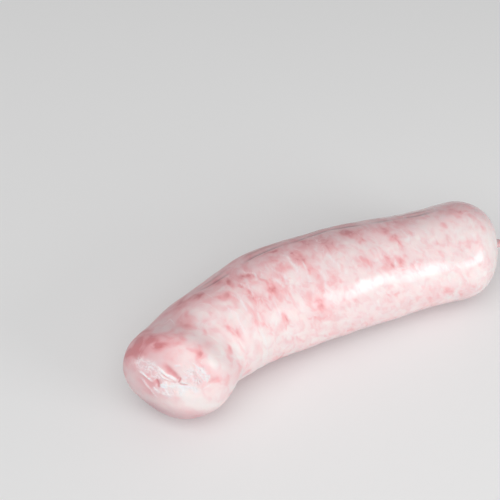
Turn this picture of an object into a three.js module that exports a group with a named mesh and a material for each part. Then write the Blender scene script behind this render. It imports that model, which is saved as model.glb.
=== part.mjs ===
// One raw pork sausage link in a natural casing, lying on its side on a flat surface.
// Millimetres, +Z up. The link runs along X, from the near twist of its casing at -X to the far
// twist at +X, and its hollow side faces -Y. The origin is at the middle of its underside.

import * as THREE from 'three';
import { ImprovedNoise } from 'three/addons/math/ImprovedNoise.js';

// Driving dimensions
const linkLength = 127.4; // along the spine, from twist to twist
const restingDepth = 0.8; // how far its own weight presses the underside flat

// How the link bends and how thick it is, from the near twist (at 0) to the far one (at 1). The
// half-widths are those of the body, which the round ends then close.
const stations = [
  { at: 0.0, heading: 44.2, halfWidth: 19.6 },
  { at: 0.11, heading: 38.5, halfWidth: 15.4 },
  { at: 0.22, heading: 11.1, halfWidth: 14.7 },
  { at: 0.38, heading: -4.5, halfWidth: 16.9 },
  { at: 0.58, heading: -8.3, halfWidth: 16.8 },
  { at: 0.8, heading: -11.6, halfWidth: 15.6 },
  { at: 1.0, heading: -26.7, halfWidth: 16.4 },
];

// The round ends: how long and how blunt each is, and how steeply the spine lifts to its twist
const nearEnd = { length: 14.0, bluntness: 2.17, lift: 13.2 };
const farEnd = { length: 15.3, bluntness: 2.18, lift: 4.3 };
const liftReach = 34; // the stretch at each end over which the spine lifts

// The near twist lies off the middle of its end, towards the hollow side. The casing is drawn in
// to a flat crease there, gathered in pleats above it, with a scrap stuck down below it.
const nearTwist = { across: 6.0, up: 2.0 };
const crease = { depth: 1.5, width: 1.8, halfLength: 8.5, bow: 0.5 };
const bowl = { depth: 1.1, radius: 6.5 };
const lip = { height: 0.5, below: 4.0, width: 2.4 };
const pleats = { count: 9, height: 0.5, reach: 6.4, spread: 3.6 };
const scrap = { across: -4.8, below: 3.2, height: 0.7, halfWidth: 3.6, halfHeight: 2.2 };

// The far twist ends in a short tail of casing that stands out of a shallow dimple
const tail = { length: 2.5, radius: 1.9, flatness: 0.65, turn: 0.9 };
const tailDimple = { depth: 0.7, radius: 4.5 };
const tailPleats = { count: 8, height: 0.3, reach: 4.2, spread: 2.6 };

// The coarse meat under the skin makes lumps, and the skin has folds on the inside of the bend
const lumps = [
  { size: 11.0, height: 0.45 },
  { size: 4.6, height: 0.2 },
];
const folds = { height: 0.14, pitch: 6.6, from: 26, to: 60 };

// How finely the skin is divided, and the share of its rows at the ends
const segmentsAround = 60;
const segmentsAlong = 88;
const nearShare = 0.25;
const farShare = 0.15;
const tailShare = 0.05;

const noise = new ImprovedNoise();
const bell = (x) => Math.exp(-x * x);
const fadeIn = (x) => THREE.MathUtils.smoothstep(x, 0, 1);
const fadeOut = (x) => (1 - THREE.MathUtils.clamp(x, 0, 1)) ** 2;

// A station's value at any place between 0 and 1, on a smooth curve through all the stations
function between(key, at) {
  const last = stations.length - 1;
  const slope = (i) => {
    const before = stations[Math.max(i - 1, 0)];
    const after = stations[Math.min(i + 1, last)];
    return (after[key] - before[key]) / (after.at - before.at);
  };
  let i = 0;
  while (i < last - 1 && at > stations[i + 1].at) i += 1;
  const span = stations[i + 1].at - stations[i].at;
  const t = (at - stations[i].at) / span;
  const leaving = stations[i][key] * (1 + 2 * t) + slope(i) * span * t;
  const arriving = stations[i + 1][key] * (3 - 2 * t) - slope(i + 1) * span * (1 - t);
  return leaving * (1 - t) ** 2 + arriving * t ** 2;
}

// The spine's direction at a distance from the near twist
function direction(along) {
  const heading = THREE.MathUtils.degToRad(between('heading', along / linkLength));
  const lift = farEnd.lift * fadeOut((linkLength - along) / liftReach)
    - nearEnd.lift * fadeOut(along / liftReach);
  const pitch = THREE.MathUtils.degToRad(lift);
  return new THREE.Vector3(
    Math.cos(heading) * Math.cos(pitch),
    Math.sin(heading) * Math.cos(pitch),
    Math.sin(pitch),
  );
}

// The spine as points at even steps, starting at the near twist
const spineSteps = 600;
const spine = [new THREE.Vector3()];
for (let i = 0; i < spineSteps; i += 1) {
  const halfway = (linkLength * (i + 0.5)) / spineSteps;
  spine.push(spine[i].clone().addScaledVector(direction(halfway), linkLength / spineSteps));
}
const lowestSpine = spine[spineSteps / 2].z;

function spinePoint(along) {
  const step = THREE.MathUtils.clamp((along / linkLength) * spineSteps, 0, spineSteps - 1e-6);
  const i = Math.floor(step);
  const point = spine[i].clone().lerp(spine[i + 1], step - i);
  return point.addScaledVector(direction(linkLength), Math.max(along - linkLength, 0));
}

// How wide a round end is at a distance from its twist, as a share of the body
function roundness(end, distance) {
  const rest = 1 - THREE.MathUtils.clamp(distance / end.length, 0, 1);
  return (1 - rest ** end.bluntness) ** (1 / end.bluntness);
}

// Where a row of the skin lies along the link, its half-width, and how far its normal leans: from
// -1 at the near twist, through 0 along the body, to 1 at the far twist
function skinRow(share) {
  const farStart = 1 - farShare - tailShare;
  if (share < nearShare) {
    const along = nearEnd.length * (1 - Math.cos((share / nearShare) * (Math.PI / 2)));
    const closing = roundness(nearEnd, along);
    return {
      along,
      halfWidth: between('halfWidth', along / linkLength) * closing,
      lean: -Math.sqrt(1 - closing ** 2),
      tailPart: 0,
    };
  }
  if (share < farStart) {
    const part = (share - nearShare) / (farStart - nearShare);
    const along = nearEnd.length + part * (linkLength - nearEnd.length - farEnd.length);
    return { along, halfWidth: between('halfWidth', along / linkLength), lean: 0, tailPart: 0 };
  }
  if (share < 1 - tailShare) {
    const turned = ((share - farStart) / farShare) * (Math.PI / 2);
    const left = farEnd.length * (1 - Math.sin(turned));
    const along = linkLength - left;
    const closing = roundness(farEnd, left);
    const halfWidth = Math.max(between('halfWidth', along / linkLength) * closing, tail.radius);
    return { along, halfWidth, lean: Math.sqrt(1 - closing ** 2), tailPart: 0 };
  }
  const tailPart = (share - 1 + tailShare) / tailShare;
  return {
    along: linkLength + tail.length * tailPart,
    halfWidth: tail.radius * (1 - 0.3 * tailPart) * Math.sqrt(Math.max(1 - tailPart ** 5, 0)),
    lean: 1,
    tailPart,
  };
}

// How far the near end's skin is drawn in, at a place measured from its twist
function nearGather(across, up) {
  const reach = Math.hypot(across, up);
  const angle = Math.atan2(up, across);
  const line = up + crease.bow * Math.sin(across / 2.6);
  const alongCrease = bell((across / crease.halfLength) ** 2);
  const valley = crease.depth * bell(line / crease.width) * alongCrease;
  const hollow = bowl.depth * bell(reach / bowl.radius);
  const swell = lip.height * bell((line + lip.below) / lip.width) * alongCrease;
  const above = 0.25 + 0.75 * fadeIn(up / 4 + 0.5);
  const pleat = pleats.height * bell((reach - pleats.reach) / pleats.spread) * above
    * Math.cos(pleats.count * angle + 0.8);
  const stuck = scrap.height * bell((across - scrap.across) / scrap.halfWidth)
    * bell((up + scrap.below) / scrap.halfHeight);
  return valley + hollow + pleat - swell - stuck;
}

// How far the far end's skin is drawn in, at a distance from its twist
function farGather(reach, angle) {
  const pleat = tailPleats.height * bell((reach - tailPleats.reach) / tailPleats.spread)
    * Math.cos(tailPleats.count * angle);
  return tailDimple.depth * bell(reach / tailDimple.radius) + pleat;
}

// How far the skin stands out over lumps of meat
function lumpiness(point) {
  let height = 0;
  for (const lump of lumps) {
    const { x, y, z } = point.clone().divideScalar(lump.size);
    height += lump.height * noise.noise(x + 3.7, y + lump.size, z);
  }
  return height;
}

// How far the skin stands out in its folds, which fade away from the hollow side
function folding(along, angle) {
  const stretch = fadeIn((along - folds.from) / 8) * fadeIn((folds.to - along) / 12);
  const wander = 0.9 * Math.sin(2 * angle + 0.5);
  const wave = Math.cos((2 * Math.PI * along) / folds.pitch + wander);
  return folds.height * wave * stretch * fadeIn(Math.cos(angle) + 0.3);
}

// A point of the skin. share runs from the near twist (0) to the far one (1), turn once round.
function skinPoint(share, turn) {
  const row = skinRow(share);
  const axis = direction(Math.min(row.along, linkLength));
  const across = new THREE.Vector3(axis.y, -axis.x, 0).normalize(); // to the hollow side
  const up = new THREE.Vector3().crossVectors(across, axis);
  const body = between('halfWidth', Math.min(row.along / linkLength, 1));

  const angle = 2 * Math.PI * turn;
  const twisted = angle + tail.turn * row.tailPart;
  const flattened = 1 - (1 - tail.flatness) * fadeIn(row.tailPart * 3);
  const sideways = row.halfWidth * Math.cos(twisted);
  const upwards = row.halfWidth * Math.sin(twisted) * flattened;
  const point = spinePoint(row.along);
  point.z += body - restingDepth - lowestSpine;
  point.addScaledVector(across, sideways).addScaledVector(up, upwards);

  const outwards = across.clone().multiplyScalar(Math.cos(angle));
  outwards.addScaledVector(up, Math.sin(angle));
  const normal = outwards.multiplyScalar(Math.sqrt(1 - row.lean ** 2));
  normal.addScaledVector(axis, row.lean);
  let height = (lumpiness(point) + folding(row.along, angle)) * (1 - row.tailPart);
  if (row.along < linkLength / 4) {
    height -= nearGather(sideways - nearTwist.across, upwards - nearTwist.up) * row.lean ** 2;
  }
  if (row.along > (linkLength * 3) / 4) {
    height -= farGather(row.halfWidth, angle) * row.lean ** 2 * (1 - row.tailPart);
  }
  point.addScaledVector(normal, height);
  point.z = Math.max(point.z, 0);
  return point;
}

// The whole skin, shaped from a sphere whose poles become the two twists
function linkGeometry() {
  const geometry = new THREE.SphereGeometry(1, segmentsAround, segmentsAlong);
  const { position, uv } = geometry.attributes;
  for (let i = 0; i < position.count; i += 1) {
    const share = 1 - uv.getY(i);
    const atPole = share < 1e-6 || share > 1 - 1e-6;
    const turn = atPole ? 0 : uv.getX(i) % 1;
    const point = skinPoint(share, turn);
    position.setXYZ(i, point.x, point.y, point.z);
  }
  geometry.computeBoundingBox();
  const middle = geometry.boundingBox.getCenter(new THREE.Vector3());
  geometry.translate(-middle.x, -middle.y, -geometry.boundingBox.min.z);
  geometry.computeVertexNormals();
  return geometry;
}

const skin = new THREE.MeshStandardMaterial({ color: 0xefd3d1, roughness: 0.32, metalness: 0 });
const link = new THREE.Mesh(linkGeometry(), skin);
link.name = 'sausage_link';

const group = new THREE.Group();
group.add(link);

export default group;
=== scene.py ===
from functools import cache
from math import acos, atan2, cos, exp, hypot, pi, radians, sin, sqrt

import bmesh
import bpy
from mathutils import Color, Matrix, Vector, noise


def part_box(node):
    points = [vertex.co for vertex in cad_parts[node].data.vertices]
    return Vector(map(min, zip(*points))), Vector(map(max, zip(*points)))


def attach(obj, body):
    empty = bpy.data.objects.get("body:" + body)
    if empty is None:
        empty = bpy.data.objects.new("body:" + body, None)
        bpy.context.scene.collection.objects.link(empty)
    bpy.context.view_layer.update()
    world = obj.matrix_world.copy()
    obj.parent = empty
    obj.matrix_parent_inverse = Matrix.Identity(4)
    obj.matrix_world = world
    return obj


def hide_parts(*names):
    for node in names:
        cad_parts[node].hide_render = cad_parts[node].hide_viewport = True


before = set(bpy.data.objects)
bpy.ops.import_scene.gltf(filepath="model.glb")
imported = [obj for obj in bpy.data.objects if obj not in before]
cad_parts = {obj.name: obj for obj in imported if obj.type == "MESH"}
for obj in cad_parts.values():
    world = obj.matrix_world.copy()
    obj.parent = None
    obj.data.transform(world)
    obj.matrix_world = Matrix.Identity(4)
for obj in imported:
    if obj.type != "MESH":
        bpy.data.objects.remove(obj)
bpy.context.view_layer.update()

mm = 0.001
noise.seed_set(3)  # without a seed, vector noise differs from run to run

# The link's shape

link = {
    "length": 127.4,  # along the spine, in millimetres like all sizes here
    "restingDepth": 0.8,  # how far its own weight flattens the underside
    "stations": [  # share of the length, heading in degrees, half-width
        (0.0, 44.2, 19.6),
        (0.11, 38.5, 15.4),
        (0.22, 11.1, 14.7),
        (0.38, -4.5, 16.9),
        (0.58, -8.3, 16.8),
        (0.8, -11.6, 15.6),
        (1.0, -26.7, 16.4),
    ],
    "nearEnd": {"length": 14.0, "bluntness": 2.17, "lift": 13.2},
    "farEnd": {"length": 15.3, "bluntness": 2.18, "lift": 4.3},
    "liftReach": 34.0,
    "tail": {"length": 2.5, "radius": 1.9, "flatness": 0.65, "turn": 0.9},
    "segmentsAround": 208,
    "segmentsAlong": 440,
    "nearShare": 0.27,  # shares of the rows
    "farShare": 0.15,
    "tailShare": 0.04,
    "lumps": [(11.0, 0.34), (5.2, 0.15), (2.3, 0.045)],  # size and height
    # Soft swellings and dips: along, degrees round from the hollow side, reach along and round,
    # and height
    "swells": [
        (16.0, 16, 7.0, 11.0, 1.1),
        (29.5, 12, 10.0, 11.0, 1.7),
        (27.0, 60, 11.5, 13.0, 2.7),
        (36.0, 60, 12.0, 14.0, 0.7),
        (9.5, 66, 6.0, 12.0, -0.5),
        (22.0, 110, 8.0, 9.0, 0.5),
        (2.0, -60, 8.0, 9.0, 1.0),
        (2.5, 175, 8.0, 9.0, 1.3),
        (31.0, 121, 6.0, 6.0, -0.7),
        (87.0, -40, 9.0, 7.0, 0.5),
        (112.0, 60, 7.0, 8.0, 0.2),
        (108.0, 6, 13.0, 10.0, 0.8),
    ],
}


def bell(x):
    return exp(-x * x)


def fadeIn(x):
    x = min(max(x, 0.0), 1.0)
    return x * x * (3 - 2 * x)


def fadeOut(x):
    return (1 - min(max(x, 0.0), 1.0)) ** 2


# A smooth curve through the stations: which is 1 for the heading and 2 for the half-width
def between(which, at):
    stations = link["stations"]
    last = len(stations) - 1

    def slope(i):
        before, after = stations[max(i - 1, 0)], stations[min(i + 1, last)]
        return (after[which] - before[which]) / (after[0] - before[0])

    i = 0
    while i < last - 1 and at > stations[i + 1][0]:
        i += 1
    span = stations[i + 1][0] - stations[i][0]
    t = (at - stations[i][0]) / span
    leaving = stations[i][which] * (1 + 2 * t) + slope(i) * span * t
    arriving = stations[i + 1][which] * (3 - 2 * t) - slope(i + 1) * span * (1 - t)
    return leaving * (1 - t) ** 2 + arriving * t**2


def spineDirection(along):
    heading = radians(between(1, along / link["length"]))
    lift = link["farEnd"]["lift"] * fadeOut((link["length"] - along) / link["liftReach"])
    lift -= link["nearEnd"]["lift"] * fadeOut(along / link["liftReach"])
    pitch = radians(lift)
    return Vector((cos(heading) * cos(pitch), sin(heading) * cos(pitch), sin(pitch)))


spineSteps = 600
spine = [Vector((0, 0, 0))]
for i in range(spineSteps):
    halfway = link["length"] * (i + 0.5) / spineSteps
    spine.append(spine[i] + spineDirection(halfway) * link["length"] / spineSteps)


def spinePoint(along):
    step = min(max(along / link["length"] * spineSteps, 0.0), spineSteps - 1e-6)
    i = int(step)
    past = max(along - link["length"], 0.0)
    return spine[i].lerp(spine[i + 1], step - i) + spineDirection(link["length"]) * past


def roundness(end, distance):
    rest = 1 - min(max(distance / end["length"], 0.0), 1.0)
    return (1 - rest ** end["bluntness"]) ** (1 / end["bluntness"])


# Where a row lies along the link, its half-width, how far its normal leans to the near twist (-1)
# or the far one (1), and its place on the tail
def skinRow(share):
    nearEnd, farEnd, tail = link["nearEnd"], link["farEnd"], link["tail"]
    farStart = 1 - link["farShare"] - link["tailShare"]
    if share < link["nearShare"]:
        along = nearEnd["length"] * (1 - cos(share / link["nearShare"] * pi / 2))
        closing = roundness(nearEnd, along)
        lean = -sqrt(1 - closing**2)
        return along, between(2, along / link["length"]) * closing, lean, 0.0
    if share < farStart:
        part = (share - link["nearShare"]) / (farStart - link["nearShare"])
        along = nearEnd["length"] + part * (link["length"] - nearEnd["length"] - farEnd["length"])
        return along, between(2, along / link["length"]), 0.0, 0.0
    if share < 1 - link["tailShare"]:
        left = farEnd["length"] * (1 - sin((share - farStart) / link["farShare"] * pi / 2))
        along = link["length"] - left
        closing = roundness(farEnd, left)
        halfWidth = max(between(2, along / link["length"]) * closing, tail["radius"])
        return along, halfWidth, sqrt(1 - closing**2), 0.0
    part = min((share - 1 + link["tailShare"]) / link["tailShare"], 1.0)
    halfWidth = tail["radius"] * (1 - 0.3 * part) * sqrt(max(1 - part**5, 0.0))
    return link["length"] + tail["length"] * part, halfWidth, 1.0, part


evenRadius = 16.0  # for places round the link, as if its girth were the same all along


# Millimetres round the link from a direction in degrees to an angle
def roundFrom(angle, degrees):
    return ((angle - radians(degrees) + pi) % (2 * pi) - pi) * evenRadius


# How strongly a line shows at a place. It is strongest half way, and runs out at both ends.
def lineAt(points, place, width):
    near, t = min(((place - point).length, t) for point, t in points)
    return bell(near / width) * (1 - (2 * t - 1) ** 4) if near < 3 * width else 0.0


# Points along a line that bends past its middle point, each with its share of the way
def linePoints(line, steps=16):
    start, bend, end = (Vector(place) for place in line)
    shares = [i / steps for i in range(steps + 1)]
    return [(start.lerp(bend, t).lerp(bend.lerp(end, t), t), t) for t in shares]


# Spots as their middle in the straightened link, their direction round it, reach and strength
def spotPlaces(spots):
    places = []
    for along, degrees, length, width, strength in spots:
        end, left = link["nearEnd"], along
        if along > link["length"] / 2:
            end, left = link["farEnd"], link["length"] - along
        body, closing = between(2, along / link["length"]), roundness(end, left)
        outward = Vector((0, cos(radians(degrees)), sin(radians(degrees))))
        middle = Vector((along, 0, 0)) + outward * body * closing
        places.append((middle, Vector((0, -outward.z, outward.y)), length, width, strength))
    return places


# How strongly a spot shows at a place of the straightened link. With a slant, it leans to one side.
def spotAt(spot, place, slant=0.0):
    middle, round, length, width, strength = spot
    gap = place - middle
    if gap.length > 3 * max(length, width):
        return 0.0
    aside = gap.dot(round)
    ahead = 1 if gap.x > 0 else -1
    onward = sqrt(max(gap.length_squared - aside**2, 0.0)) + slant * aside * ahead
    return strength * bell(hypot(onward / length, aside / width))


swellPlaces = spotPlaces(link["swells"])


# The gathered twist at the near end

# Folds of casing, each a line that bends past its middle point. Places are millimetres across (to
# the hollow side) and up from the middle of the end. A fold stands out, or goes in if negative.
twist = {
    "middle": (4.4, 2.2),
    "bowl": {"depth": 0.9, "radius": 6.5},
    "lip": {"height": 0.6, "below": 4.2, "width": 2.4, "halfLength": 8.5},
    "crinkle": {"middle": (7.6, 5.0), "radius": 3.6, "height": 0.22, "size": 0.8},
    "waver": {"size": 2.4, "reach": 0.5},
    "folds": [
        # Folds that run into the pucker from the upper left
        {"line": [(-1.4, 6.8), (1.2, 5.0), (3.1, 2.4)], "height": -0.42, "width": 1.15},
        {"line": [(-3.6, 6.2), (-0.8, 3.8), (2.8, 2.0)], "height": 0.36, "width": 0.48},
        {"line": [(-2.6, 4.8), (-0.6, 2.8), (2.4, 1.6)], "height": -0.2, "width": 0.26},
        {"line": [(-2.6, 4.3), (-1.0, 2.2), (1.4, 1.7)], "height": 0.28, "width": 0.36},
        {"line": [(-4.6, 6.6), (-2.6, 5.0), (-1.8, 3.4)], "height": 0.2, "width": 0.3},
        {"line": [(-1.7, 2.4), (0.6, 1.6), (3.0, 1.5)], "height": -0.3, "width": 0.26},
        # The pucker and its crease
        {"line": [(3.2, 3.6), (3.4, 2.2), (2.9, 1.2)], "height": -0.42, "width": 0.34},
        {"line": [(3.0, 1.8), (4.1, 0.6), (5.7, 1.4)], "height": -0.4, "width": 0.3},
        {"line": [(3.6, 2.7), (4.3, 1.5), (6.0, 1.5)], "height": 0.26, "width": 0.3},
        {"line": [(4.2, 1.2), (6.6, 0.5), (9.2, 1.0)], "height": 0.16, "width": 0.34},
        # The white band and knob below it
        {"line": [(-0.8, 0.6), (3.0, 0.2), (8.6, 0.9)], "height": 0.32, "width": 0.5},
        {"line": [(-1.9, 0.8), (-1.0, 0.3), (0.1, 0.9)], "height": 0.5, "width": 0.9},
        {"line": [(-3.3, 2.0), (-2.8, 0.6), (-2.0, -0.9)], "height": -0.5, "width": 0.42},
        {"line": [(3.8, 0.4), (5.0, -0.6), (3.4, -2.4)], "height": 0.2, "width": 0.3},
        {"line": [(-1.5, -2.0), (-0.2, -2.6), (1.4, -2.5)], "height": 0.18, "width": 0.6},
        # The scrap of film stuck down to the left
        {"line": [(-8.2, 2.0), (-4.9, -1.0), (-2.4, -4.8)], "height": 0.2, "width": 0.5},
        {"line": [(-8.4, 3.4), (-5.6, 2.6), (-3.8, 0.4)], "height": 0.3, "width": 0.5},
        {"line": [(-4.1, -0.7), (-3.0, -1.7), (-1.7, -1.6)], "height": 0.25, "width": 0.4},
        # The crinkled patch on the right
        {"line": [(6.0, 9.2), (7.6, 8.0), (9.6, 6.9)], "height": 0.2, "width": 0.32},
        {"line": [(8.4, 7.4), (10.4, 5.8), (10.9, 2.8)], "height": 0.26, "width": 0.36},
        {"line": [(7.2, 6.8), (9.0, 5.8), (9.9, 3.6)], "height": 0.2, "width": 0.3},
        {"line": [(6.9, 5.2), (8.4, 3.9), (9.6, 2.4)], "height": -0.2, "width": 0.26},
        {"line": [(7.6, 3.4), (8.4, 2.6), (8.3, 1.2)], "height": -0.2, "width": 0.22},
        {"line": [(6.2, 5.9), (7.4, 4.6), (7.5, 2.8)], "height": -0.14, "width": 0.22},
        {"line": [(10.8, 3.0), (12.2, 3.6), (13.8, 5.0)], "height": -0.2, "width": 0.6},
        {"line": [(12.0, 2.9), (11.0, 1.8), (9.7, 0.6)], "height": 0.18, "width": 0.32},
        {"line": [(8.7, 0.3), (8.1, -0.2), (7.3, -0.9)], "height": 0.14, "width": 0.28},
        # Threads above
        {"line": [(0.6, 14.0), (2.4, 11.2), (2.6, 8.8)], "height": 0.12, "width": 0.24},
        {"line": [(1.5, 7.6), (2.3, 7.2), (3.1, 7.9)], "height": 0.22, "width": 0.45},
    ],
    # Where the casing bunches up it is white, and where it is stretched the lean meat shows:
    # across, up, reach and how strongly
    "whiteFilm": [
        (-8.0, 5.8, 2.4, 0.8),
        (-5.4, 5.4, 2.2, 0.9),
        (-3.4, 3.2, 2.0, 0.9),
        (-0.9, 0.6, 1.4, 0.9),
        (2.0, 0.3, 1.5, 0.9),
        (4.8, 0.3, 1.5, 0.8),
        (7.6, 0.8, 1.6, 0.7),
        (0.4, -1.8, 1.8, 1.0),
        (-2.4, -1.2, 1.5, 0.9),
        (3.6, -1.2, 1.4, 0.7),
        (8.8, 6.6, 1.8, 0.9),
        (10.3, 4.8, 1.4, 1.0),
        (6.2, 5.6, 2.0, 0.8),
        (5.0, 3.4, 1.6, 0.7),
        (8.2, 3.4, 1.8, 0.8),
        (2.1, 7.4, 0.9, 0.6),
    ],
    "stretched": [
        (-1.2, 6.5, 1.3, 0.5),
        (0.2, 5.4, 1.5, 0.6),
        (1.6, 4.2, 1.2, 0.6),
        (2.7, 2.9, 0.8, 0.5),
        (0.8, 9.8, 2.8, 0.2),
        (7.6, 12.7, 3.0, 0.4),
        (9.2, 8.3, 1.0, 0.25),
        (2.1, -0.9, 1.2, 0.25),
        (8.5, 3.1, 1.2, 0.25),
        (12.6, 4.2, 1.4, 0.2),
    ],
}
for fold in twist["folds"]:
    fold["points"] = linePoints(fold["line"])


# How far the folds move the skin at a place, out and in
def foldHeights(place):
    ridge, groove = 0.0, 0.0
    for fold in twist["folds"]:
        height = fold["height"] * lineAt(fold["points"], place, fold["width"])
        if height > 0:
            ridge = max(ridge, height)
        else:
            groove = min(groove, height)
    return ridge, groove


def strongest(spots, place):
    return max(
        depth * bell((place - Vector((x, y))).length / reach) for x, y, reach, depth in spots
    )


# What the twist does to the skin: how far it stands out, the fold there out and in, how much loose
# casing lies on it, and how far it is stretched
def nearGather(across, up):
    waver = noise.noise_vector(Vector((across, up, 2.0)) / twist["waver"]["size"])
    place = Vector((across, up)) + waver.to_2d() * twist["waver"]["reach"]
    ridge, groove = foldHeights(place)
    x, y = across - twist["middle"][0], up - twist["middle"][1]
    bowl, lip, crinkle = twist["bowl"], twist["lip"], twist["crinkle"]
    height = 0.7 * ridge + groove - bowl["depth"] * bell(hypot(x, y) / bowl["radius"])
    swell = lip["height"] * bell((y + lip["below"]) / lip["width"])
    height += swell * bell((x / lip["halfLength"]) ** 2)
    fromCrinkle = (Vector((across, up)) - Vector(crinkle["middle"])).length
    crumple = 1 - 3 * abs(noise.noise(Vector((across, up, 0.5)) / crinkle["size"]))
    crumple *= bell(fromCrinkle / crinkle["radius"])
    height += crinkle["height"] * crumple
    ridge += 0.1 * max(crumple, 0.0) ** 3
    film = strongest(twist["whiteFilm"], place)
    return height, ridge, groove, film, strongest(twist["stretched"], place)


# The far end's skin gathers into the tail in small pleats, in a shallow dimple
tailTwist = {"depth": 0.7, "radius": 4.5, "pleats": 11, "height": 0.22, "reach": 4.0, "spread": 2.4}


def farGather(reach, angle):
    pleat = tailTwist["height"] * bell((reach - tailTwist["reach"]) / tailTwist["spread"])
    pleat *= cos(tailTwist["pleats"] * angle)
    return -tailTwist["depth"] * bell(reach / tailTwist["radius"]) - pleat


# Fine folds of the skin on the hollow side of the bend
skinFolds = {"height": 0.06, "pitch": 5.2, "from": 22.0, "to": 64.0}


def foldingHeight(along, angle):
    stretch = fadeIn((along - skinFolds["from"]) / 10) * fadeIn((skinFolds["to"] - along) / 16)
    wave = cos(2 * pi * along / skinFolds["pitch"] + 1.3 * sin(2 * angle + 0.5))
    return skinFolds["height"] * wave * stretch * fadeIn(cos(angle) + 0.2)


# The casing's seam along the top of the back, where the gut was trimmed: a crease with a soft welt
# behind it
seam = {
    "angle": 115.0,
    "from": 25.0,
    "to": 110.0,
    "runOut": 8.0,  # how softly it starts and ends
    "crease": {"depth": 0.35, "width": 0.55},
    "welt": {"height": 0.3, "behind": 2.2, "width": 1.6},
}


def seamAt(along, angle):
    line = seam["angle"] + 4 * sin(along / 9) + 2.5 * sin(along / 3.7 + 1)
    past = roundFrom(angle, line)
    if abs(past) > 6:
        return 0.0, 0.0, 0.0
    fromStart, toEnd = along - seam["from"], seam["to"] - along
    stretch = fadeIn(fromStart / seam["runOut"]) * fadeIn(toEnd / seam["runOut"])
    stretch *= fadeIn(0.7 + 1.6 * noise.noise(Vector((along / 9, 4.0, 0.0))))
    crease = stretch * bell(past / seam["crease"]["width"])
    welt = stretch * bell((past - seam["welt"]["behind"]) / seam["welt"]["width"])
    height = seam["welt"]["height"] * welt - seam["crease"]["depth"] * crease
    return crease, welt, height


# Thin white threads of the casing, each a line of (along, degrees round)
threadHeight, threadWidth = 0.06, 0.34
threads = [
    [(40.2, 104), (42.4, 92), (42.6, 78)],
    [(48.1, 89), (50.4, 76), (51.3, 55)],
    [(46.7, 80), (47.9, 71), (49.4, 61)],
    [(37.2, 89), (38.8, 79), (38.8, 63)],
    [(65.1, 82), (67.6, 73), (67.4, 57)],
    [(85.9, 59), (85.6, 52), (85.4, 44)],
    [(35.6, 38), (37.0, 16), (36.3, -10)],
    [(57.6, 84), (58.6, 72), (57.4, 57)],
    [(32.9, 82), (34.6, 69), (34.5, 51)],
    [(53.4, 98), (55.4, 84), (54.6, 68)],
    [(43.6, 62), (45.2, 48), (44.6, 30)],
    [(28.0, 78), (30.2, 60), (29.6, 40)],
    [(61.5, 66), (62.8, 50), (62.0, 34)],
    [(93.0, 92), (94.2, 80), (93.0, 66)],
]
threadLines = [
    linePoints([(along, radians(degrees) * evenRadius) for along, degrees in thread])
    for thread in threads
]


def threadAt(along, angle):
    around = roundFrom(angle, 0)
    waver = noise.noise_vector(Vector((along, around, 1.0)) / 3.0)
    place = Vector((along + 1.2 * waver.x, around + 1.2 * waver.y))
    near = [line for line in threadLines if abs(line[len(line) // 2][0].x - along) < 4]
    return max((lineAt(line, place, threadWidth) for line in near), default=0.0)


# Spots of lean meat that show best through the casing: along, degrees round from the hollow side,
# reach along, reach round and how deep their colour is
leanSpots = [
    (5.0, 136, 3.0, 3.6, 1.3),
    (4.2, 119, 2.8, 3.4, 1.15),
    (3.1, 106, 2.2, 3.0, 1.1),
    (15.0, 84, 5.4, 4.8, 0.6),
    (18.2, 60, 3.0, 3.2, 0.75),
    (7.6, 66, 2.8, 3.2, 0.3),
    (16.4, 39, 2.2, 2.4, 0.4),
    (21.0, 113, 3.6, 2.6, 0.75),
    (26.5, 104, 3.2, 2.8, 0.7),
    (23.0, 92, 2.4, 2.4, 0.45),
    (33.0, 104, 2.6, 2.6, 0.6),
    (24.0, 56, 2.2, 4.2, 0.5),
    (27.0, 42, 3.0, 3.4, 0.35),
    (32.0, 82, 2.8, 1.8, 0.55),
    (28.0, 87, 2.0, 1.8, 0.55),
    (40.8, 88, 1.8, 1.9, 0.9),
    (37.6, 68, 1.7, 3.4, 0.55),
    (45.6, 66, 2.2, 2.0, 0.5),
    (37.8, 46, 1.3, 3.0, 0.42),
    (45.8, 33, 1.4, 3.0, 0.46),
    (48.6, 77, 1.5, 3.8, 0.5),
    (48.5, 95, 3.4, 1.8, 0.6),
    (51.3, 107, 3.2, 1.0, 0.9),
    (51.8, 79, 1.8, 1.7, 0.45),
    (57.0, 87, 2.0, 4.2, 0.6),
    (58.6, 69, 2.4, 2.4, 0.5),
    (58.3, 34, 2.2, 2.6, 0.6),
    (62.5, 106, 2.4, 2.2, 0.65),
    (68.0, 92, 3.2, 2.4, 0.45),
    (76.5, 104, 2.4, 3.8, 0.7),
    (76.0, 62, 3.4, 3.2, 0.7),
    (83.8, 53, 2.2, 2.4, 0.68),
    (87.8, 52, 2.0, 2.4, 0.72),
    (88.8, 80, 1.3, 5.4, 0.6),
    (87.3, 28, 2.0, 2.0, 0.4),
    (95.7, 7, 1.6, 2.2, 0.36),
    (95.5, 103, 2.8, 2.4, 0.5),
    (104.5, 3, 1.7, 1.7, 0.42),
    (116.5, 52, 1.2, 1.3, 0.5),
    (115.7, 70, 1.8, 1.5, 0.38),
    (120.0, 70, 1.9, 1.9, 0.42),
    (112.9, 96, 2.4, 3.2, 0.48),
]

# Places where the fat lies thick, given the same way
paleSpots = [
    (0.6, -90, 5.0, 6.5, 0.55),
    (1.6, 172, 3.4, 5.0, 0.7),
    (1.4, -148, 3.4, 5.0, 0.7),
    (12.0, 107, 3.0, 2.6, 0.2),
    (5.6, 36, 4.0, 4.6, 0.4),
    (12.0, 44, 2.4, 3.0, 0.2),
]

leanPlaces = spotPlaces(leanSpots)
palePlaces = spotPlaces(paleSpots)


def leanness(place):
    ragged = place + noise.noise_vector(place / 2.6) * 1.6
    return max(spotAt(spot, ragged, 0.4) for spot in leanPlaces)


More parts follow.
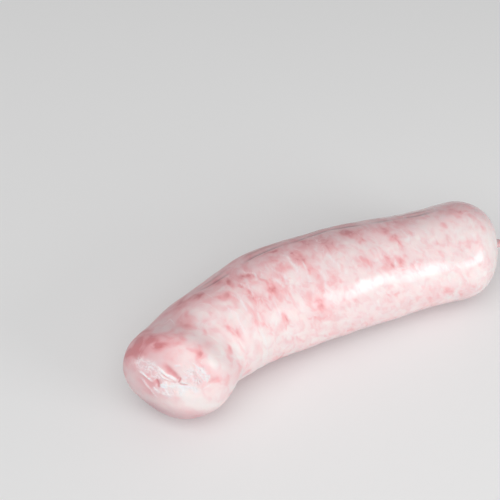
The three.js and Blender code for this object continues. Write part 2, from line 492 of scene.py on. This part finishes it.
def paleness(place):
    return max(spotAt(spot, place) for spot in palePlaces)


# The casing shines where it is wet: hardly at the near end, and fully from past the middle on
wetCasing = {
    "least": 0.1,
    "onward": {"from": 50.0, "over": 26.0, "more": 0.85},
    "film": 0.8,  # more on loose casing
    "dryBand": {"middle": 86.0, "reach": 4.5, "less": 0.4},
}


def wetnessAt(along, film, ridge):
    onward, dryBand = wetCasing["onward"], wetCasing["dryBand"]
    wetness = wetCasing["least"]
    wetness += onward["more"] * fadeIn((along - onward["from"]) / onward["over"])
    wetness += wetCasing["film"] * fadeIn(film + 2 * ridge - 0.2)
    wetness -= dryBand["less"] * bell((along - dryBand["middle"]) / dryBand["reach"])
    return min(wetness, 1.0)


# Pieces of meat lie crosswise in the casing and lean to one side, as the filling turned them. They
# show larger, and lie every way, at the near end.
grain = {
    "crosswise": 0.3,  # how much narrower they lie past the neck
    "lengthwise": 0.5,  # how much longer they lie in the neck
    "neck": (8.0, 34.0),
    "lean": 0.4,  # how far they slant from the neck on
    "larger": 0.42,  # how much larger they are at the near end
}


def grainPlace(straight, along, upwards):
    neckStart, neckEnd = grain["neck"]
    intoNeck = min(max(along - neckStart, 0.0), neckEnd - neckStart)
    onward = grain["crosswise"] * max(along - neckEnd, 0.0) - grain["lengthwise"] * intoNeck
    onward += grain["lean"] * upwards * fadeIn((along - 20) / 36)
    return (straight + Vector((onward, 0, 0))) * (1 - grain["larger"] * fadeOut(along / 40))


# A row of the skin, with its middle and its directions: along the spine, to the hollow side, up
@cache
def skinRing(row):
    along, halfWidth, lean, tailPart = skinRow(row / link["segmentsAlong"])
    axis = spineDirection(min(along, link["length"]))
    across = Vector((axis.y, -axis.x, 0)).normalized()
    middle = spinePoint(along)
    middle.z += between(2, min(along / link["length"], 1.0)) - link["restingDepth"]
    middle.z -= spine[spineSteps // 2].z
    return along, halfWidth, lean, tailPart, middle, axis, across, across.cross(axis)


# A point of the skin, its places for the patterns, and how strongly each mark shows there
def skinPoint(row, angle):
    along, halfWidth, lean, tailPart, middle, axis, across, up = skinRing(row)
    twisted = angle + link["tail"]["turn"] * tailPart
    flattened = 1 - (1 - link["tail"]["flatness"]) * fadeIn(tailPart * 3)
    sideways = halfWidth * cos(twisted)
    upwards = halfWidth * sin(twisted) * flattened
    point = middle + across * sideways + up * upwards
    straight = Vector((along, sideways, upwards))

    normal = (across * cos(angle) + up * sin(angle)) * sqrt(1 - lean**2) + axis * lean
    height = foldingHeight(along, angle) * (1 - tailPart)
    height += sum(spotAt(swell, straight) for swell in swellPlaces) * (1 - tailPart)
    crease, welt, seamHeight = seamAt(along, angle)
    thread = threadAt(along, angle) if lean == 0 else 0.0
    height += seamHeight + threadHeight * thread
    for size, lumpHeight in link["lumps"]:
        lump = noise.noise(point / size + Vector((3.7, size, 0)))
        height += lumpHeight * lump * (1 - tailPart)
    ridge, groove, film, blush = 0.0, 0.0, 0.0, 0.0
    if along < link["nearEnd"]["length"]:
        gathered, ridge, groove, film, blush = nearGather(sideways, upwards)
        height += gathered * fadeIn(-lean * 1.6)
    if along > link["length"] - link["farEnd"]["length"]:
        height += farGather(halfWidth, angle) * lean**2 * (1 - tailPart)
    point += normal * height
    point.z = max(point.z, 0.0)
    marks = {
        "ridge": ridge,
        "groove": -groove,
        "film": film,
        "leanSpot": max(leanness(straight), blush) - paleness(straight),
        "wetness": wetnessAt(along, film, ridge),
        "seam": crease,
        "welt": max(welt, 0.7 * fadeIn(3 * tailPart)),
        "thread": thread,
    }
    places = {"straightPlace": straight, "grainPlace": grainPlace(straight, along, upwards)}
    return point, places, marks


# Shaped from a sphere whose poles become the two twists
def makeSkin():
    bm = bmesh.new()
    bmesh.ops.create_uvsphere(
        bm, u_segments=link["segmentsAround"], v_segments=link["segmentsAlong"], radius=1.0
    )
    placeNames = ("straightPlace", "grainPlace")
    placeLayers = {name: bm.verts.layers.float_vector.new(name) for name in placeNames}
    markNames = ("ridge", "groove", "film", "leanSpot", "wetness", "seam", "welt", "thread")
    markLayers = {name: bm.verts.layers.float.new(name) for name in markNames}
    for vert in bm.verts:
        row = round(acos(max(min(vert.co.z, 1.0), -1.0)) / pi * link["segmentsAlong"])
        angle = atan2(vert.co.y, vert.co.x)
        vert.co, places, marks = skinPoint(row, angle)
        for name, value in places.items():
            vert[placeLayers[name]] = value
        for name, value in marks.items():
            vert[markLayers[name]] = value
    bmesh.ops.recalc_face_normals(bm, faces=bm.faces)

    # The skin lies where the solid does
    low = Vector([min(vert.co[i] for vert in bm.verts) for i in range(3)])
    high = Vector([max(vert.co[i] for vert in bm.verts) for i in range(3)])
    nodeLow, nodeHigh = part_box("sausage_link")
    toNode = (nodeLow + nodeHigh) / 2 - (low + high) / 2 * mm
    toNode.z = nodeLow.z - low.z * mm
    bmesh.ops.scale(bm, vec=(mm, mm, mm), verts=bm.verts)
    bmesh.ops.translate(bm, vec=toNode, verts=bm.verts)
    for face in bm.faces:
        face.smooth = True
    mesh = bpy.data.meshes.new("link_skin")
    bm.to_mesh(mesh)
    bm.free()
    skin = bpy.data.objects.new("link_skin", mesh)
    bpy.context.scene.collection.objects.link(skin)
    return skin


# Materials

# A socket that adds its own Math nodes where it meets an operator
class Wire:
    def __init__(self, finish, socket):
        self.finish = finish
        self.socket = socket

    def math(self, operation, first, second):
        settings = {"operation": operation}
        return self.finish.node("ShaderNodeMath", settings, {0: first, 1: second})

    def __add__(self, other):
        return self.math("ADD", self, other)

    def __radd__(self, other):
        return self.math("ADD", other, self)

    def __sub__(self, other):
        return self.math("SUBTRACT", self, other)

    def __rsub__(self, other):
        return self.math("SUBTRACT", other, self)

    def __mul__(self, other):
        return self.math("MULTIPLY", self, other)

    def __rmul__(self, other):
        return self.math("MULTIPLY", other, self)


class Finish:
    def __init__(self, name):
        self.material = bpy.data.materials.new(name)
        self.material.use_nodes = True
        self.tree = self.material.node_tree
        self.tree.nodes.clear()

    # Adds a node of any type: its settings first, then the values or links of its sockets
    def node(self, kind, settings=None, inputs=None, output=0):
        made = self.tree.nodes.new(kind)
        for name, value in (settings or {}).items():
            setattr(made, name, value)
        for name, value in (inputs or {}).items():
            if isinstance(value, Wire):
                self.tree.links.new(value.socket, made.inputs[name])
            else:
                made.inputs[name].default_value = value
        return Wire(self, made.outputs[output]) if made.outputs else None

    def smoothStep(self, value, low, high):
        settings = {"interpolation_type": "SMOOTHSTEP"}
        inputs = {"Value": value, "From Min": low, "From Max": high}
        return self.node("ShaderNodeMapRange", settings, inputs)

    # The Mix node's colour sockets are its inputs 6 and 7 and its output 2
    def mix(self, mask, first, second):
        inputs = {0: mask, 6: first, 7: second}
        return self.node("ShaderNodeMix", {"data_type": "RGBA"}, inputs, output=2)

    def attribute(self, name, output):
        return self.node("ShaderNodeAttribute", {"attribute_name": name}, output=output)

    def vector(self, operation, first, second):
        inputs = {0: first, 1: second}
        return self.node("ShaderNodeVectorMath", {"operation": operation}, inputs)

    # Noise and cells: output 0 is a value, and output 1 a colour
    def cloud(self, place, size, detail=2.0, output=0):
        inputs = {"Vector": place, "Scale": 1 / size, "Detail": detail}
        return self.node("ShaderNodeTexNoise", inputs=inputs, output=output)

    def cells(self, place, size, output=0):
        inputs = {"Vector": place, "Scale": 1 / size}
        return self.node("ShaderNodeTexVoronoi", inputs=inputs, output=output)

    # The thin lines where a cloud passes through its middle value
    def veins(self, cloud, width):
        away = self.node("ShaderNodeMath", {"operation": "ABSOLUTE"}, {0: cloud - 0.5})
        return self.smoothStep(away, width, 0.0)

    # A place moved by noise of a given size, up to about a seventh of the reach each way
    def shaken(self, place, size, reach):
        offset = self.vector("SUBTRACT", self.cloud(place, size, 1.0, output=1), (0.5, 0.5, 0.5))
        return self.vector("ADD", place, self.vector("MULTIPLY", offset, (reach, reach, reach)))

    # Runs through a row of colours as a value goes from 0 to 1
    def shades(self, value, colours):
        colour, steps = colours[0], len(colours) - 1
        for i in range(steps):
            share = {"Value": value, "From Min": i / steps, "From Max": (i + 1) / steps}
            colour = self.mix(self.node("ShaderNodeMapRange", inputs=share), colour, colours[i + 1])
        return colour

    # Scattered bits with soft edges, of many sizes, in a given share of the cells
    def bits(self, place, size, share, channel):
        cellColour = self.cells(place, size, output=1)
        chance = self.node("ShaderNodeSeparateColor", inputs={0: cellColour}, output=channel)
        reach = (chance + share - 1) * 0.9
        return self.smoothStep(self.cells(place, size), reach + 0.36, reach - 0.1)


# A colour given as it looks on screen, from 0 to 255
def paint(red, green, blue):
    tone = Color((red / 255, green / 255, blue / 255)).from_srgb_to_scene_linear()
    return (*tone, 1.0)


meat = {
    "shades": [  # from fat to the leanest meat
        paint(252, 239, 237),
        paint(249, 219, 220),
        paint(244, 186, 189),
        paint(219, 130, 132),
    ],
    "tone": 0.155,  # the plain meat's place in those shades, from 0 to 1
    # How much each kind of mottling adds, and its size
    "broad": (0.4, 19.0),
    "clouds": (0.46, 8.5),
    "patches": (0.2, 4.4),
    "flecks": (0.1, 2.2),
    "bits": (0.21, 3.6),
    "fat": (0.14, 3.0),
    "behind": 0.24,  # leaner on the back, partly the meat's own colour and partly painted shade
    "spots": 0.8,
    "paintedShade": paint(200, 160, 167),  # painted shade, on the back and below
}

casing = {
    "loose": paint(253, 245, 247),  # where it is bunched up, and its threads
    "welt": paint(198, 148, 151),
    # painted shade for the seam's crease
    "crease": paint(150, 120, 126),
    "groove": paint(226, 152, 156),
    "roughness": 0.36,
    "dullPatches": 0.12,  # how much rougher they are
    "specularLevel": 0.3,
    "scatter": 0.6,
    "scatterDepth": 1.2,
    "coatRoughness": 0.22,
    "coatIor": 1.75,
}


def makeMeat():
    finish = Finish("coarse_pork_under_casing")
    straight = finish.attribute("straightPlace", "Vector")
    sideways = finish.node("ShaderNodeSeparateXYZ", inputs={0: straight}, output=1)
    upwards = finish.node("ShaderNodeSeparateXYZ", inputs={0: straight}, output=2)
    inGrain = finish.attribute("grainPlace", "Vector")
    place = finish.shaken(finish.shaken(inGrain, 5.0, 3.5), 1.5, 1.0)

    broad = finish.cloud(straight, meat["broad"][1], 1.0) - 0.5
    clouds = finish.cloud(place, meat["clouds"][1]) - 0.5
    patches = finish.cloud(place, meat["patches"][1]) + broad * 0.3
    patches = finish.smoothStep(patches, 0.4, 0.7)
    flecks = finish.smoothStep(finish.cloud(place, meat["flecks"][1]), 0.42, 0.72)
    bits = finish.bits(place, meat["bits"][1], 0.42 + broad * 0.6 + clouds * 0.5, 0)
    bits = bits * finish.smoothStep(finish.cloud(place, 5.0, 1.0), 0.35, 0.65)
    fat = finish.bits(place, meat["fat"][1], 0.32 - clouds, 2)
    # Painted shade: masks for the back and the underside, which are coloured darker and greyer as
    # if less light fell there
    behind = finish.smoothStep(sideways, 6.0, -7.0)
    below = finish.smoothStep(upwards, -5.0, -12.0)
    spots = finish.attribute("leanSpot", "Fac") * (0.45 + finish.cloud(place, 3.0) * 0.7)
    lean = broad * meat["broad"][0] + clouds * meat["clouds"][0] + patches * meat["patches"][0]
    lean = lean + flecks * meat["flecks"][0] + bits * meat["bits"][0] - fat * meat["fat"][0]
    lean = lean + behind * meat["behind"] + spots * meat["spots"] + meat["tone"]
    colour = finish.shades(lean, meat["shades"])
    # Painted shade: the back and the underside turn a darker, greyer pink
    colour = finish.mix(behind * 0.4 + below * 0.6, colour, meat["paintedShade"])

    # Pale threads in the casing run round the link
    threadPlace = finish.vector("MULTIPLY", finish.shaken(inGrain, 5.0, 6.0), (1.3, 0.7, 0.7))
    thread = finish.veins(finish.cloud(threadPlace, 5.0, 1.0), 0.012)
    thread = thread * finish.smoothStep(finish.cloud(straight, 8.0, 1.0), 0.45, 0.65) * 0.6
    thread = thread + finish.attribute("thread", "Fac")
    colour = finish.mix(thread * 0.6, colour, casing["loose"])

    # The seam's welt, and painted shade in its crease
    colour = finish.mix(finish.attribute("welt", "Fac") * 0.75, colour, casing["welt"])
    colour = finish.mix(finish.attribute("seam", "Fac") * 0.55, colour, casing["crease"])

    # Loose casing crinkles, and is whitest where it doubles up
    crinkled = finish.veins(finish.cloud(finish.shaken(straight, 1.8, 2.4), 1.3, 1.0), 0.14)
    loose = finish.smoothStep(finish.attribute("film", "Fac"), 0.1, 0.85)
    groove = finish.smoothStep(finish.attribute("groove", "Fac"), 0.04, 0.45)
    ridge = finish.smoothStep(finish.attribute("ridge", "Fac"), 0.03, 0.28)
    colour = finish.mix(loose * (0.42 + crinkled * 0.4), colour, casing["loose"])
    colour = finish.mix(groove * 0.75, colour, casing["groove"])
    colour = finish.mix(ridge * (0.7 + crinkled * 0.3), colour, casing["loose"])

    # Heights in millimetres
    pores = finish.cloud(straight, 0.7)
    height = (fat * 0.5 - bits * 0.5 + clouds * 2 - patches * 0.4) * 0.05
    height = height + pores * 0.012 + thread * 0.03 + loose * crinkled * 0.12
    bump = finish.node("ShaderNodeBump", inputs={"Strength": 1.0, "Distance": mm, "Height": height})
    patchy = finish.smoothStep(finish.cloud(straight, 6.0, 3.0), 0.3, 0.7)
    surface = finish.node(
        "ShaderNodeBsdfPrincipled",
        inputs={
            "Base Color": colour,
            "Roughness": casing["roughness"] + patchy * casing["dullPatches"],
            "IOR": 1.4,
            "Specular IOR Level": casing["specularLevel"],
            "Subsurface Weight": casing["scatter"],
            "Subsurface Radius": (1.0, 0.5, 0.45),
            "Subsurface Scale": casing["scatterDepth"] * mm,
            "Coat Weight": finish.attribute("wetness", "Fac") * (0.75 + patchy * 0.25),
            "Coat Roughness": casing["coatRoughness"],
            "Coat IOR": casing["coatIor"],
            "Normal": bump,
        },
    )
    finish.node("ShaderNodeOutputMaterial", inputs={"Surface": surface})
    return finish.material


skin = makeSkin()
skin.data.materials.append(makeMeat())
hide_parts("sausage_link")
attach(skin, "root")
print("skin made,", len(skin.data.polygons), "faces")


# Stage, lights and camera, in metres and watts

table = {"halfSize": 3.0, "colour": (0.82, 0.82, 0.82, 1.0), "roughness": 0.7, "glow": 0.04}


def makeFloorFinish():
    finish = Finish("white_table")
    surface = finish.node(
        "ShaderNodeBsdfPrincipled",
        inputs={
            "Base Color": table["colour"],
            "Roughness": table["roughness"],
            "Specular IOR Level": 0.2,
            "Emission Color": (1.0, 1.0, 1.0, 1.0),
            "Emission Strength": table["glow"],
        },
    )
    finish.node("ShaderNodeOutputMaterial", inputs={"Surface": surface})
    return finish.material


def makeFloor():
    bm = bmesh.new()
    bmesh.ops.create_grid(bm, x_segments=1, y_segments=1, size=table["halfSize"])
    mesh = bpy.data.meshes.new("floor")
    bm.to_mesh(mesh)
    bm.free()
    floor = bpy.data.objects.new("floor", mesh)
    floor.data.materials.append(makeFloorFinish())
    bpy.context.scene.collection.objects.link(floor)


# The direction from the link to a camera or lamp: azimuth 0 is in front, on the hollow side
def towards(azimuth, elevation):
    a, e = radians(azimuth), radians(elevation)
    return Vector((sin(a) * cos(e), -cos(a) * cos(e), sin(e)))


shot = {
    "azimuth": -30.96,
    "elevation": 45.0,
    "distance": 0.348,
    "target": (0.001, 0.0417, 0.0),
    "lens": 72.2,
    "sensor": 36.0,
}


def addCamera():
    data = bpy.data.cameras.new("camera")
    data.sensor_width = shot["sensor"]
    data.lens = shot["lens"]
    data.clip_start = 0.01
    camera = bpy.data.objects.new("camera", data)
    back = towards(shot["azimuth"], shot["elevation"])
    camera.location = Vector(shot["target"]) + back * shot["distance"]
    camera.rotation_mode = "QUATERNION"
    camera.rotation_quaternion = (-back).to_track_quat("-Z", "Y")
    bpy.context.scene.collection.objects.link(camera)
    bpy.context.scene.camera = camera


lamps = {
    "key": {"azimuth": 25, "elevation": 19, "distance": 0.5, "size": (0.24, 0.19), "power": 0.6},
    "fill": {"azimuth": -46, "elevation": 55, "distance": 1.2, "size": (1.4, 1.2), "power": 10.2},
    "aim": (0.0, 0.0, 0.016),
    "world": 0.33,
}


def addLamp(name):
    lamp = lamps[name]
    data = bpy.data.lights.new(name, "AREA")
    data.shape = "RECTANGLE"
    data.size, data.size_y = lamp["size"]
    data.energy = lamp["power"]
    light = bpy.data.objects.new(name, data)
    away = towards(lamp["azimuth"], lamp["elevation"])
    light.location = away * lamp["distance"] + Vector(lamps["aim"])
    light.rotation_mode = "QUATERNION"
    light.rotation_quaternion = (-away).to_track_quat("-Z", "Y")
    light.visible_glossy = name == "key"  # only the key light shows in the wet casing
    bpy.context.scene.collection.objects.link(light)


def addWorld():
    world = bpy.data.worlds.new("studio")
    world.use_nodes = True
    background = world.node_tree.nodes["Background"]
    background.inputs["Color"].default_value = (1.0, 1.0, 1.0, 1.0)
    background.inputs["Strength"].default_value = lamps["world"]
    bpy.context.scene.world = world


makeFloor()
addCamera()
addLamp("key")
addLamp("fill")
addWorld()
bpy.context.scene.view_settings.view_transform = "Standard"
print("stage, lights and camera set")
